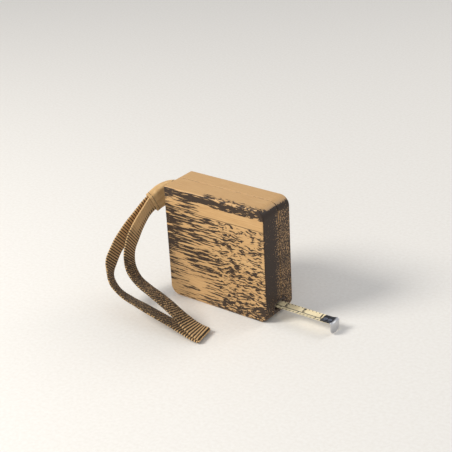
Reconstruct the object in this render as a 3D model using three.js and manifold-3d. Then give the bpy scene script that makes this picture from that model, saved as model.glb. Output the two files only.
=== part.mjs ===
// Pocket tape measure: a square bamboo case with a narrow curved steel blade that a spring winds
// back, a brake let go by a button in the rear face, and a webbing wrist strap.
//
// Millimetres, +Z up. The origin is the centre of the case's base. The blade leaves towards +X,
// the strap towards -X, and the front face looks along -Y.

import * as THREE from 'three';
import { mergeVertices } from 'three/addons/utils/BufferGeometryUtils.js';
import Module from 'manifold-3d';

const wasm = await Module();
wasm.setup();

// ---------------------------------------------------------------- driving dimensions

const CASE = { width: 60, depth: 22, height: 60, seamY: 1.5, seamGap: 0.3, edge: 0.9 };
const CORNER = { strapTop: 1.2, mouthTop: 5, mouthBase: 4.5, strapBase: 5 };
const POCKET = { radius: 25, front: -8, rear: 8.5 };
const BLADE = { width: 6.35, sagitta: 0.7, thickness: 0.15, bottom: 5.2, out: 31, length: 56.5 };
const COIL = { radius: 21.5, hub: 16.5 };
const DRUM = { x: 0, z: BLADE.bottom + 1.25 + COIL.radius, flange: 23, halfWidth: 3.5, wall: 0.9 };
const HUB = { bore: 3.25, wall: 1.2, web: 1.1, end: 3.3 };
const COVER_LIP = { inner: 14.3, outer: 15.1, front: 2.7 };
const POST = { radius: 3, front: -6.2, rear: 3.1, foot: 6, footRear: -5.4, slotHalf: 0.45,
  slotFront: -2.9 };
const WASHER = { bore: 3.3, radius: 6, front: -5.15, rear: -4.7 };
const SPRING = { turns: 5, stepsPerTurn: 14, gap: 0.5, thickness: 0.25, front: -2.8, rear: 2.2 };
const LINER = { radius: 24.6, rim: 23.9, front: -7.7, inside: -6.5, rimRear: -4.9 };
const REAR_LINER = { opening: 6.65, rib: 22, ribOuter: 22.8, ribFront: 4.8, inside: 7.2,
  rear: 8.3 };
const BRAKE = { pivotUp: 12, padUp: 18, y: 5.7, thickness: 0.9, pin: 0.6 };
const LEVER = { foot: 2.6, armHalf: 1.8, neckHalf: 1.2, neckHeight: 2.5, knuckle: 0.4 };
const PAD = { half: 1.6, front: 4.5 };
const LUG = { inner: 2.9, outer: 3.9, half: 1.6, front: 1.2 };
const BRAKE_SPRING = { turns: 3, stepsPerTurn: 8, wire: 0.14, x: 1.55, width: 1.05 };
const BUTTON = { radius: 5.5, top: 10.8, flange: 6.3, flangeFront: 7.45, flangeRear: 8.35,
  nub: 2, nubEnd: 6.75, bevel: 0.5, dish: 0.3, well: 7.35 };
const BEZEL = { outer: 7.2, front: 8.7, gap: 0.25, bevelHeight: 0.6, bevelWidth: 0.9 };
const TUNNEL = { inset: 3, halfWidth: 3.9, z0: 3.8, z1: 7.6 };
const MOUTH = { x0: 24, halfWidth: 4.9, z0: 2.6, z1: 8.4, wall: 1.3, clearance: 0.15, recess: 0.1 };
const HOOK = { width: 7.6, thickness: 0.5, lipBottom: 0.3, lipRound: 3, leaf: 6.4, leafWidth: 5.8,
  leafThickness: 0.4, gap: 0.05, play: 0.6, shoulder: 0.62 };
const RIVET = { shank: 0.6, head: 1.1, headHeight: 0.3, places: [2.1, 4.6] };
const STRAP = { width: 12, thickness: 1.0, z: 51.7 };
const SLOT = { depth: 7.2, halfWidth: 2.9, height: 12.8 };
const ANCHOR = { x: -25.4, radius: 1.0, seatHalf: 1.1, below: 1.8, above: 0.8, turnRadius: 1.85 };
const SLEEVE = { wall: 0.4, gap: 0.4, length: 15, start: 0.35 };
const SCREW = { shank: 1.0, head: 2.0, headHeight: 1.1, length: 15, clearance: 0.15,
  sunk: 0.3, sinkDepth: 1.6, holeFront: -7 };
const LINER_SCREW = { shank: 0.8, head: 1.6, headHeight: 0.7,
  front: { face: -5.7, length: 4.1, holeEnd: -10 },
  rear: { face: 6.4, length: 3.7, holeEnd: 10.3 } };
const DOWEL = { radius: 1.0, hole: 1.1, front: -4, rear: 6, endGap: 0.2 };
const ROUND = 32;
const SMALL_ROUND = 12;

const CASE_SCREWS = [[-25.6, 13], [25.6, 13], [21.5, 53], [-17.5, 54.4]];
const DOWELS = [[-27.4, 34], [27.4, 34]];
const LINER_SCREW_RADIUS = 19.6;
const LINER_SCREW_TURNS = [30, 150, 270];

// Each ply of the strap, from the case's side to the fold at its far end: x, y, z and the
// angle in degrees that the webbing leans over from standing upright.
const OUTER_PLY = [
  [-30.0, 0.9, 51.7, 0], [-34.6, -0.1, 51.3, -12], [-38.8, -3.9, 50.0, -22],
  [-42.2, -10.7, 46.0, -22], [-44.3, -18.0, 40.4, -20], [-46.2, -24.8, 34.4, -18],
  [-47.3, -31.3, 28.0, -13], [-46.2, -37.3, 21.2, 8], [-40.7, -40.8, 15.1, 42],
  [-32.5, -41.6, 11.5, 59], [-23.7, -41.3, 9.2, 64], [-15.0, -41.0, 7.0, 66],
  [-6.3, -40.4, 4.8, 68], [2.4, -39.3, 2.6, 77], [8.0, -38.4, 1.4, 86],
  [11.2, -37.8, 1.1, 90],
];
const INNER_PLY = [
  [-30.0, -0.9, 51.7, 0], [-34.0, -1.9, 51.2, -11], [-37.4, -4.9, 49.9, -20],
  [-39.8, -9.9, 47.0, -21], [-40.3, -16.2, 42.7, -16], [-40.1, -22.4, 37.7, -8],
  [-39.2, -28.2, 32.3, 2], [-36.3, -33.0, 26.9, 26], [-31.1, -36.3, 22.0, 50],
  [-23.9, -37.8, 18.6, 63], [-16.3, -38.3, 16.0, 67], [-9.0, -38.6, 13.0, 68],
  [-2.2, -38.8, 9.5, 69], [4.6, -38.7, 5.6, 78], [8.6, -38.3, 3.6, 86],
  [11.2, -37.8, 2.7, 90],
];

// ---------------------------------------------------------------- materials

const material = (color, roughness, metalness = 0) =>
  new THREE.MeshStandardMaterial({ color, roughness, metalness });
const BAMBOO = material(0xc49b68, 0.55);
const STEEL = material(0xb9bcc0, 0.3, 1);
const SPRING_STEEL = material(0x6f747a, 0.35, 1);
const BLADE_PAINT = material(0xe9dfb4, 0.4);
const PLASTIC = material(0x26262a, 0.5);
const RUBBER = material(0x1c1c1c, 0.85);
const WEBBING = material(0xb39468, 0.9);

// ---------------------------------------------------------------- solids from geometries

function solid(geometry) {
  geometry.deleteAttribute('normal');
  geometry.deleteAttribute('uv');
  const merged = mergeVertices(geometry, 1e-4);
  const vertProperties = new Float32Array(merged.attributes.position.array);
  const triVerts = new Uint32Array(merged.index.array);
  return new wasm.Manifold(new wasm.Mesh({ numProp: 3, vertProperties, triVerts }));
}

function shapeOf(manifold) {
  const { vertProperties, triVerts } = manifold.getMesh();
  const geometry = new THREE.BufferGeometry();
  geometry.setAttribute('position', new THREE.BufferAttribute(vertProperties, 3));
  geometry.setIndex(new THREE.BufferAttribute(triVerts, 1));
  return geometry;
}

const cut = (body, tools) => tools.reduce((rest, tool) => rest.subtract(tool), body);
const join = (bodies) => bodies.reduce((all, next) => all.add(next));

function block(x0, x1, y0, y1, z0, z1) {
  const geometry = new THREE.BoxGeometry(x1 - x0, y1 - y0, z1 - z0);
  geometry.translate((x0 + x1) / 2, (y0 + y1) / 2, (z0 + z1) / 2);
  return solid(geometry);
}

// A round rod along Y, X or Z.
function rodY(radius, y0, y1, x, z, sides = ROUND) {
  const geometry = new THREE.CylinderGeometry(radius, radius, y1 - y0, sides);
  geometry.translate(x, (y0 + y1) / 2, z);
  return solid(geometry);
}

function rodX(radius, x0, x1, y, z, sides = SMALL_ROUND) {
  const geometry = new THREE.CylinderGeometry(radius, radius, x1 - x0, sides);
  geometry.rotateZ(Math.PI / 2);
  geometry.translate((x0 + x1) / 2, y, z);
  return solid(geometry);
}

function rodZ(radius, z0, z1, x, y, sides = SMALL_ROUND) {
  const geometry = new THREE.CylinderGeometry(radius, radius, z1 - z0, sides);
  geometry.rotateX(Math.PI / 2);
  geometry.translate(x, y, (z0 + z1) / 2);
  return solid(geometry);
}

// A shape turned about an axis along Y through (x, z); the profile is [radius, y] pairs.
function turned(profile, x = DRUM.x, z = DRUM.z, sides = ROUND) {
  const points = [...profile, profile[0]].map(([r, y]) => new THREE.Vector2(r, y));
  const geometry = new THREE.LatheGeometry(points, sides);
  geometry.translate(x, 0, z);
  return solid(geometry);
}

// A closed body through a row of sections that all have the same number of points.
function swept(sections) {
  const count = sections[0].length;
  const flat = sections.flat();
  const index = [];
  for (let s = 0; s + 1 < sections.length; s += 1) {
    for (let k = 0; k < count; k += 1) {
      const a = s * count + k;
      const b = s * count + ((k + 1) % count);
      index.push(a, b, b + count, a, b + count, a + count);
    }
  }
  const last = (sections.length - 1) * count;
  for (let k = 1; k + 1 < count; k += 1) {
    index.push(0, k + 1, k, last, last + k, last + k + 1);
  }
  const geometry = new THREE.BufferGeometry();
  const position = new Float32Array(flat.flatMap((p) => p.toArray()));
  geometry.setAttribute('position', new THREE.BufferAttribute(position, 3));
  geometry.setIndex(index);
  return geometry;
}

const group = new THREE.Group();

function add(name, body, finish) {
  const mesh = new THREE.Mesh(body.isBufferGeometry ? body : shapeOf(body), finish);
  mesh.name = name;
  group.add(mesh);
}

// ---------------------------------------------------------------- case shells

// The case's outline in X and Z, pulled in by `inset`, with its four corner radii.
function caseOutline(inset) {
  const x = CASE.width / 2 - inset;
  const z0 = inset;
  const z1 = CASE.height - inset;
  const r = (size) => Math.max(size - inset, 0.3);
  const shape = new THREE.Shape();
  shape.moveTo(-x + r(CORNER.strapBase), z0);
  shape.lineTo(x - r(CORNER.mouthBase), z0);
  shape.absarc(x - r(CORNER.mouthBase), z0 + r(CORNER.mouthBase), r(CORNER.mouthBase),
    -Math.PI / 2, 0);
  shape.lineTo(x, z1 - r(CORNER.mouthTop));
  shape.absarc(x - r(CORNER.mouthTop), z1 - r(CORNER.mouthTop), r(CORNER.mouthTop),
    0, Math.PI / 2);
  shape.lineTo(-x + r(CORNER.strapTop), z1);
  shape.absarc(-x + r(CORNER.strapTop), z1 - r(CORNER.strapTop), r(CORNER.strapTop),
    Math.PI / 2, Math.PI);
  shape.lineTo(-x, z0 + r(CORNER.strapBase));
  shape.absarc(-x + r(CORNER.strapBase), z0 + r(CORNER.strapBase), r(CORNER.strapBase),
    Math.PI, 1.5 * Math.PI);
  return shape;
}

// The whole case as one block with softened edges, before it is split at the seam.
function caseBlock() {
  const geometry = new THREE.ExtrudeGeometry(caseOutline(CASE.edge), {
    depth: CASE.depth - 2 * CASE.edge,
    bevelThickness: CASE.edge,
    bevelSize: CASE.edge,
    bevelSegments: 2,
    curveSegments: 4,
  });
  geometry.rotateX(Math.PI / 2);
  geometry.translate(0, CASE.depth / 2 - CASE.edge, 0);
  return solid(geometry);
}

// Everything hollow inside the case: drum pocket, blade tunnel, mouth seat and strap slot.
function caseHollows() {
  const side = CASE.width / 2;
  const half = SLOT.height / 2;
  return [
    rodY(POCKET.radius, POCKET.front, POCKET.rear, DRUM.x, DRUM.z, 40),
    block(-side + TUNNEL.inset, side - TUNNEL.inset, -TUNNEL.halfWidth, TUNNEL.halfWidth,
      TUNNEL.z0, TUNNEL.z1),
    block(MOUTH.x0 - MOUTH.clearance, side + 1, -MOUTH.halfWidth - MOUTH.clearance,
      MOUTH.halfWidth + MOUTH.clearance, MOUTH.z0 - MOUTH.clearance, MOUTH.z1 + MOUTH.clearance),
    block(-side - 1, -side + SLOT.depth, -SLOT.halfWidth, SLOT.halfWidth,
      STRAP.z - half, STRAP.z + half),
    block(ANCHOR.x - ANCHOR.seatHalf, ANCHOR.x + ANCHOR.seatHalf, -ANCHOR.seatHalf, CASE.seamY + 1,
      STRAP.z - half - ANCHOR.below - DOWEL.endGap, STRAP.z + half + ANCHOR.above + DOWEL.endGap),
  ];
}

const holesFor = (places, radius, y0, y1) =>
  places.map(([x, z]) => rodY(radius, y0, y1, x, z, SMALL_ROUND));

const linerScrewPlaces = LINER_SCREW_TURNS.map((turn) => {
  const angle = THREE.MathUtils.degToRad(turn);
  return [DRUM.x + LINER_SCREW_RADIUS * Math.cos(angle),
    DRUM.z + LINER_SCREW_RADIUS * Math.sin(angle)];
});

const seamFront = CASE.seamY - CASE.seamGap / 2;
const seamRear = CASE.seamY + CASE.seamGap / 2;
const back = CASE.depth / 2;
const threadRadius = SCREW.shank + SCREW.clearance;

const linerHoles = (y0, y1) =>
  holesFor(linerScrewPlaces, LINER_SCREW.shank + SCREW.clearance, y0, y1);

// Everything on one side of the seam, to be taken off the whole block.
const sideBlock = (y0, y1) => block(-CASE.width, CASE.width, y0, y1, -CASE.height, 2 * CASE.height);

add('front_case_shell', cut(caseBlock(), [
  sideBlock(seamFront, CASE.depth),
  ...caseHollows(),
  ...holesFor(CASE_SCREWS, threadRadius, SCREW.holeFront, seamFront + 1),
  ...holesFor(DOWELS, DOWEL.hole, DOWEL.front - DOWEL.endGap, seamFront + 1),
  ...linerHoles(LINER_SCREW.front.holeEnd, POCKET.front + 1),
]), BAMBOO);

add('rear_case_shell', cut(caseBlock(), [
  sideBlock(-CASE.depth, seamRear),
  ...caseHollows(),
  ...holesFor(CASE_SCREWS, threadRadius, seamRear - 1, back + 1),
  ...holesFor(CASE_SCREWS, SCREW.head + SCREW.clearance, back - SCREW.sinkDepth, back + 1),
  ...holesFor(DOWELS, DOWEL.hole, seamRear - 1, DOWEL.rear + DOWEL.endGap),
  ...linerHoles(POCKET.rear - 1, LINER_SCREW.rear.holeEnd),
  rodY(BUTTON.well, POCKET.rear - 1, back + 1, DRUM.x, DRUM.z),
]), BAMBOO);

// ---------------------------------------------------------------- fasteners of the case

// A cross-recessed screw along Y: its head's outer face is at `face`, and `way` is +1 or -1,
// the direction in which the head looks.
function screw(x, z, face, way, length, { shank, head, headHeight }) {
  const at = (d) => face - way * d;
  const profile = [[0, at(0)], [head * 0.8, at(0)], [head, at(headHeight * 0.45)],
    [head, at(headHeight)], [shank, at(headHeight)], [shank, at(length - shank)],
    [0.15, at(length)], [0, at(length)]];
  const ordered = way > 0 ? profile.reverse() : profile;
  const deep = headHeight * 0.6;
  const y0 = Math.min(at(-1), at(deep));
  const y1 = Math.max(at(-1), at(deep));
  const long = head * 0.62;
  const thin = head * 0.15;
  return cut(turned(ordered, x, z, SMALL_ROUND), [
    block(x - long, x + long, y0, y1, z - thin, z + thin),
    block(x - thin, x + thin, y0, y1, z - long, z + long),
  ]);
}

CASE_SCREWS.forEach(([x, z], i) => {
  add(`case_screw_${i + 1}`, screw(x, z, back - SCREW.sunk, 1, SCREW.length, SCREW), STEEL);
});

DOWELS.forEach(([x, z], i) => {
  const pin = rodY(DOWEL.radius, DOWEL.front, DOWEL.rear, x, z, SMALL_ROUND);
  add(`case_dowel_${i + 1}`, pin, BAMBOO);
});

const { front: frontScrew, rear: rearScrew } = LINER_SCREW;
linerScrewPlaces.forEach(([x, z], i) => {
  add(`front_liner_screw_${i + 1}`,
    screw(x, z, frontScrew.face, 1, frontScrew.length, LINER_SCREW), STEEL);
  add(`rear_liner_screw_${i + 1}`,
    screw(x, z, rearScrew.face, -1, rearScrew.length, LINER_SCREW), STEEL);
});

// ---------------------------------------------------------------- liners, post and drum

add('front_liner', cut(
  turned([[0, LINER.front], [LINER.radius, LINER.front], [LINER.radius, LINER.rimRear],
    [LINER.rim, LINER.rimRear], [LINER.rim, LINER.inside], [0, LINER.inside]]),
  linerHoles(LINER.front - 1, LINER.inside + 0.5),
), PLASTIC);

const pivotZ = DRUM.z + BRAKE.pivotUp;
const pivotY = BRAKE.y + BRAKE.thickness / 2;
const pivotBore = rodX(BRAKE.pin + 0.1, -LUG.outer - 1, LUG.outer + 1, pivotY, pivotZ);
const linerLugs = [[-LUG.outer, -LUG.inner], [LUG.inner, LUG.outer]].map(([x0, x1]) =>
  block(x0, x1, pivotY - LUG.front, REAR_LINER.inside + 0.3, pivotZ - LUG.half, pivotZ + LUG.half));
add('rear_liner', cut(
  join([
    turned([[REAR_LINER.opening, REAR_LINER.inside], [REAR_LINER.rib, REAR_LINER.inside],
      [REAR_LINER.rib, REAR_LINER.ribFront], [REAR_LINER.ribOuter, REAR_LINER.ribFront],
      [REAR_LINER.ribOuter, REAR_LINER.inside], [LINER.radius, REAR_LINER.inside],
      [LINER.radius, REAR_LINER.rear], [REAR_LINER.opening, REAR_LINER.rear]]),
    ...linerLugs,
  ]),
  [...linerHoles(REAR_LINER.inside - 1, REAR_LINER.rear + 1), pivotBore],
), PLASTIC);

const post = turned([[0, POST.front], [POST.foot, POST.front], [POST.foot, POST.footRear],
  [POST.radius, POST.footRear], [POST.radius, POST.rear], [0, POST.rear]], DRUM.x, DRUM.z, 20);
add('spindle_post', cut(post, [
  block(DRUM.x - POST.slotHalf, DRUM.x + POST.slotHalf, POST.slotFront, POST.rear + 1,
    DRUM.z - POST.radius - 1, DRUM.z + POST.radius + 1),
]), STEEL);

add('thrust_washer', turned([[WASHER.bore, WASHER.front], [WASHER.radius, WASHER.front],
  [WASHER.radius, WASHER.rear], [WASHER.bore, WASHER.rear]]), STEEL);

const drumFace = DRUM.halfWidth + DRUM.wall;
const webRear = HUB.web - drumFace;
add('drum_hub', turned([
  [HUB.bore, -drumFace], [DRUM.flange, -drumFace], [DRUM.flange, -DRUM.halfWidth],
  [COIL.hub, -DRUM.halfWidth], [COIL.hub, HUB.end], [COIL.hub - HUB.wall, HUB.end],
  [COIL.hub - HUB.wall, webRear], [HUB.bore, webRear],
]), PLASTIC);

const coverFront = DRUM.halfWidth + 0.05;
add('drum_cover', turned([
  [0, coverFront], [COVER_LIP.inner, coverFront], [COVER_LIP.inner, COVER_LIP.front],
  [COVER_LIP.outer, COVER_LIP.front], [COVER_LIP.outer, coverFront], [DRUM.flange, coverFront],
  [DRUM.flange, drumFace], [0, drumFace],
]), PLASTIC);

// A flat spring strip wound from the post out to the hub's wall.
function powerSpring() {
  const { turns, stepsPerTurn, gap, thickness, front, rear } = SPRING;
  const steps = turns * stepsPerTurn;
  const inner = POST.radius + gap;
  const outer = COIL.hub - HUB.wall - gap - 0.1;
  const ring = (k) => {
    const angle = (2 * Math.PI * turns * k) / steps;
    const radius = inner + ((outer - inner) * k) / steps;
    const at = (r, y) => new THREE.Vector3(
      DRUM.x + r * Math.cos(angle), y, DRUM.z + r * Math.sin(angle));
    return [at(radius, front), at(radius + thickness, front), at(radius + thickness, rear),
      at(radius, rear)];
  };
  return swept(Array.from({ length: steps + 1 }, (_, k) => ring(k)));
}
add('power_spring', powerSpring(), SPRING_STEEL);

const coilHalf = BLADE.width / 2;
add('blade_coil', turned([
  [COIL.hub + 0.2, -coilHalf], [COIL.radius, -coilHalf], [COIL.radius, coilHalf],
  [COIL.hub + 0.2, coilHalf],
], DRUM.x, DRUM.z, 44), BLADE_PAINT);

// ---------------------------------------------------------------- blade, hook and mouth

// A strip along X that is curved across its width, with its lowest line at z.
function curvedStrip(width, sagitta, thickness, x0, x1, z) {
  const radius = (width * width / 4 + sagitta * sagitta) / (2 * sagitta);
  const steps = 8;
  const lower = [];
  for (let k = 0; k <= steps; k += 1) {
    const y = -width / 2 + (width * k) / steps;
    lower.push([y, z + radius - Math.sqrt(radius * radius - y * y)]);
  }
  const upper = lower.map(([y, height]) => [y, height + thickness]).reverse();
  const section = (x) => [...lower, ...upper].map(([y, height]) => new THREE.Vector3(x, y, height));
  return solid(swept([section(x0).reverse(), section(x1).reverse()].reverse()));
}

const lipX = CASE.width / 2 + BLADE.out + 0.2;
const bladeEnd = lipX - 0.3;
const rivetPlaces = RIVET.places.map((d) => bladeEnd - d);
const bladeTop = BLADE.bottom + BLADE.thickness;

add('blade_strip', cut(
  curvedStrip(BLADE.width, BLADE.sagitta, BLADE.thickness, bladeEnd - BLADE.length, bladeEnd,
    BLADE.bottom),
  rivetPlaces.map((x) => rodZ(RIVET.shank + 0.05, BLADE.bottom - 1, BLADE.bottom + 2, x, 0)),
), BLADE_PAINT);

// The hook: a leaf that lies in the blade's curve, and a lip bent down across its end.
function hook() {
  const leafBottom = bladeTop + HOOK.gap;
  const share = HOOK.leafWidth / BLADE.width;
  const leaf = curvedStrip(HOOK.leafWidth, BLADE.sagitta * share * share, HOOK.leafThickness,
    bladeEnd - HOOK.leaf, lipX + 0.1, leafBottom);
  const slotHalf = RIVET.shank + 0.1;
  const [slotBase, slotTop] = [leafBottom - 1, leafBottom + 2];
  const slots = rivetPlaces.map((x) => join([
    rodZ(slotHalf, slotBase, slotTop, x - HOOK.play, 0),
    rodZ(slotHalf, slotBase, slotTop, x, 0),
    block(x - HOOK.play, x, -slotHalf, slotHalf, slotBase, slotTop),
  ]));
  const half = HOOK.width / 2;
  const top = leafBottom + HOOK.leafThickness + HOOK.shoulder;
  const round = HOOK.lipRound;
  const outline = new THREE.Shape();
  outline.moveTo(-half, top);
  outline.lineTo(-half, HOOK.lipBottom + round);
  outline.absarc(-half + round, HOOK.lipBottom + round, round, Math.PI, 1.5 * Math.PI);
  outline.absarc(half - round, HOOK.lipBottom + round, round, 1.5 * Math.PI, 2 * Math.PI);
  outline.lineTo(half, top);
  const plate = new THREE.ExtrudeGeometry(outline, {
    depth: HOOK.thickness, bevelEnabled: false, curveSegments: 8,
  });
  plate.rotateX(Math.PI / 2);
  plate.rotateZ(Math.PI / 2);
  plate.translate(lipX, 0, 0);
  return join([cut(leaf, slots), solid(plate)]);
}
add('end_hook', hook(), STEEL);

rivetPlaces.forEach((x, i) => {
  const under = BLADE.bottom - 0.1;
  const over = bladeTop + HOOK.leafThickness + 0.2;
  add(`hook_rivet_${i + 1}`, join([
    rodZ(RIVET.shank, under - RIVET.headHeight, over + 0.1, x, 0),
    rodZ(RIVET.head, under - RIVET.headHeight, under, x, 0),
    rodZ(RIVET.head, over, over + RIVET.headHeight, x, 0),
  ]), STEEL);
});

add('mouth_guide', cut(
  block(MOUTH.x0, CASE.width / 2 - MOUTH.recess, -MOUTH.halfWidth, MOUTH.halfWidth,
    MOUTH.z0, MOUTH.z1),
  [block(MOUTH.x0 - 1, CASE.width / 2 + 1, -MOUTH.halfWidth + MOUTH.wall,
    MOUTH.halfWidth - MOUTH.wall, MOUTH.z0 + MOUTH.wall, MOUTH.z1 - MOUTH.wall)],
), PLASTIC);

// ---------------------------------------------------------------- brake and button

const leverRear = BRAKE.y + BRAKE.thickness;
const padZ = DRUM.z + BRAKE.padUp;
const { armHalf, neckHalf, neckHeight } = LEVER;
const lever = join([
  rodY(LEVER.foot, BRAKE.y, leverRear, DRUM.x, DRUM.z, 24),
  block(-armHalf, armHalf, BRAKE.y, leverRear, DRUM.z, pivotZ - neckHeight + 0.1),
  block(-neckHalf, neckHalf, BRAKE.y, leverRear, pivotZ - neckHeight, pivotZ + neckHeight),
  block(-armHalf, armHalf, BRAKE.y, leverRear, pivotZ + neckHeight - 0.1, padZ + PAD.half),
  rodX(BRAKE.pin + LEVER.knuckle, -neckHalf, neckHalf, pivotY, pivotZ),
]);
add('brake_lever', cut(lever, [pivotBore]), STEEL);
add('brake_pad', block(-armHalf, armHalf, PAD.front, BRAKE.y - 0.05, padZ - PAD.half,
  padZ + PAD.half), RUBBER);
add('brake_pivot_pin', rodX(BRAKE.pin, -LUG.outer - 0.1, LUG.outer + 0.1, pivotY, pivotZ), STEEL);

// The spring that turns the lever's pad against the drum: a small coil round the pivot pin.
function brakeSpring() {
  const { turns, stepsPerTurn, x, width } = BRAKE_SPRING;
  const steps = turns * stepsPerTurn;
  const radius = BRAKE.pin + 0.25;
  const points = [new THREE.Vector3(x - 0.05, pivotY + radius, pivotZ - 3.2)];
  for (let k = 0; k <= steps; k += 1) {
    const angle = (2 * Math.PI * k) / stepsPerTurn;
    points.push(new THREE.Vector3(x + (width * k) / steps,
      pivotY + radius * Math.cos(angle), pivotZ + radius * Math.sin(angle)));
  }
  points.push(new THREE.Vector3(x + width + 0.05, pivotY + radius - 0.1, pivotZ + 1.4));
  const wire = new THREE.Shape();
  wire.absarc(0, 0, BRAKE_SPRING.wire, 0, 2 * Math.PI);
  return solid(new THREE.ExtrudeGeometry(wire, {
    extrudePath: new THREE.CatmullRomCurve3(points), steps: 40, curveSegments: 3,
    bevelEnabled: false,
  }));
}
add('brake_spring', brakeSpring(), SPRING_STEEL);

add('release_button', turned([
  [0, BUTTON.nubEnd], [BUTTON.nub, BUTTON.nubEnd], [BUTTON.nub, BUTTON.flangeFront],
  [BUTTON.flange, BUTTON.flangeFront], [BUTTON.flange, BUTTON.flangeRear],
  [BUTTON.radius, BUTTON.flangeRear], [BUTTON.radius, BUTTON.top - BUTTON.bevel],
  [BUTTON.radius - BUTTON.bevel, BUTTON.top], [0, BUTTON.top - BUTTON.dish],
]), PLASTIC);

const bezelBore = BUTTON.radius + BEZEL.gap;
const bezelRear = back - 0.05;
add('button_bezel', turned([
  [bezelBore, BEZEL.front], [BEZEL.outer, BEZEL.front], [BEZEL.outer, bezelRear],
  [BUTTON.radius + BEZEL.bevelWidth, bezelRear], [bezelBore, back - BEZEL.bevelHeight],
]), PLASTIC);

// ---------------------------------------------------------------- strap

// Stations along a ply: its centre, its direction and the direction of its width.
function plyStations(rows, steps) {
  const curve = new THREE.CatmullRomCurve3(
    rows.map(([x, y, z]) => new THREE.Vector3(x, y, z)), false, 'catmullrom', 0.5);
  const leans = rows.map((row) => row[3]);
  return Array.from({ length: steps + 1 }, (_, k) => {
    const t = k / steps;
    const place = t * (rows.length - 1);
    const i = Math.min(Math.floor(place), rows.length - 2);
    const lean = THREE.MathUtils.degToRad(THREE.MathUtils.lerp(leans[i], leans[i + 1], place - i));
    const along = curve.getTangent(t);
    const upright = new THREE.Vector3(0, 0, 1).addScaledVector(along, -along.z).normalize();
    const sideways = along.clone().cross(upright);
    const across = upright.multiplyScalar(Math.cos(lean)).addScaledVector(sideways, Math.sin(lean));
    return { centre: curve.getPoint(t), along, across };
  });
}

// A rectangle across the strap at a station.
function webbingSection({ centre, along, across }, width, thickness) {
  const through = along.clone().cross(across).normalize();
  return [[-1, -1], [1, -1], [1, 1], [-1, 1]].map(([a, b]) => centre.clone()
    .addScaledVector(across, (a * width) / 2)
    .addScaledVector(through, (b * thickness) / 2));
}

// Half a turn of webbing from one ply to the other round a centre that lies between them.
function turnStations(from, to, bulge, steps) {
  const middle = from.centre.clone().add(to.centre).multiplyScalar(0.5);
  const arm = from.centre.clone().sub(middle);
  const out = bulge.clone().setLength(arm.length());
  return Array.from({ length: steps - 1 }, (_, k) => {
    const angle = (Math.PI * (k + 1)) / steps;
    const centre = middle.clone().addScaledVector(arm, Math.cos(angle))
      .addScaledVector(out, Math.sin(angle));
    const along = arm.clone().multiplyScalar(-Math.sin(angle))
      .addScaledVector(out, Math.cos(angle)).normalize();
    return { centre, along, across: from.across.clone() };
  });
}

const reversed = (stations) => stations.slice().reverse()
  .map(({ centre, along, across }) => ({ centre, along: along.clone().negate(), across }));

const PLY_STEPS = 45;
const outerPly = plyStations(OUTER_PLY, PLY_STEPS);
const innerPly = reversed(plyStations(INNER_PLY, PLY_STEPS));
const fold = turnStations(outerPly.at(-1), innerPly[0], outerPly.at(-1).along, 6);

// The closed end round the anchor pin: straight into the slot, half a turn, and out again.
function anchorStations() {
  const upright = new THREE.Vector3(0, 0, 1);
  const side = ANCHOR.turnRadius;
  const inwards = new THREE.Vector3(1, 0, 0);
  const station = (x, y, along) => ({
    centre: new THREE.Vector3(x, y, STRAP.z), along, across: upright,
  });
  const enter = station(ANCHOR.x, -side, inwards);
  const leave = station(ANCHOR.x, side, inwards.clone().negate());
  return [enter, ...turnStations(enter, leave, inwards, 8), leave];
}

const loop = [...outerPly, ...fold, ...innerPly, ...anchorStations()];
function webbingLoop() {
  const sections = loop.map((at) => webbingSection(at, STRAP.width, STRAP.thickness));
  const count = sections[0].length;
  const flat = sections.flat();
  const index = [];
  sections.forEach((_, s) => {
    const next = (s + 1) % sections.length;
    for (let k = 0; k < count; k += 1) {
      const [a, b] = [s * count + k, s * count + ((k + 1) % count)];
      const [c, d] = [next * count + k, next * count + ((k + 1) % count)];
      index.push(a, b, d, a, d, c);
    }
  });
  const geometry = new THREE.BufferGeometry();
  const position = new Float32Array(flat.flatMap((p) => p.toArray()));
  geometry.setAttribute('position', new THREE.BufferAttribute(position, 3));
  geometry.setIndex(index);
  return geometry;
}
add('strap_webbing', webbingLoop(), WEBBING);

// The sleeve: a flat tube round both plies from the case's side outwards. It starts square to
// the case and then follows the middle of the two plies.
function sleeve() {
  const rows = OUTER_PLY.slice(0, 4).map((row, i) =>
    row.map((value, k) => (value + INNER_PLY[i][k]) / 2));
  const mouth = {
    centre: new THREE.Vector3(-CASE.width / 2 - SLEEVE.start, 0, STRAP.z),
    along: new THREE.Vector3(-1, 0, 0),
    across: new THREE.Vector3(0, 0, 1),
  };
  const followed = plyStations(rows, 16).filter(({ centre }) => centre.x < mouth.centre.x - 1);
  let reach = 0;
  const kept = [mouth, ...followed].filter((at, k, all) => {
    if (k > 0) reach += at.centre.distanceTo(all[k - 1].centre);
    return reach <= SLEEVE.length;
  });
  const plyOffset = OUTER_PLY[0][1];
  const inner = 2 * (plyOffset + STRAP.thickness / 2 + SLEEVE.gap);
  const tall = STRAP.width + 2 * SLEEVE.gap;
  const section = (at, extra) => webbingSection(at, tall + extra, inner + extra);
  const longer = kept.map((at, k) => {
    const push = { 0: -1, [kept.length - 1]: 1 }[k] ?? 0;
    return { ...at, centre: at.centre.clone().addScaledVector(at.along, push) };
  });
  const outside = swept(kept.map((at) => section(at, 2 * SLEEVE.wall)));
  const inside = swept(longer.map((at) => section(at, 0)));
  return cut(solid(outside), [solid(inside)]);
}
add('strap_sleeve', sleeve(), material(0x3a3632, 0.7));

add('strap_anchor_pin', rodZ(ANCHOR.radius, STRAP.z - SLOT.height / 2 - ANCHOR.below,
  STRAP.z + SLOT.height / 2 + ANCHOR.above, ANCHOR.x, 0), STEEL);

export default group;
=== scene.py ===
import math
from functools import partialmethod

import bmesh
import bpy
from mathutils import Matrix, Vector


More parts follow.
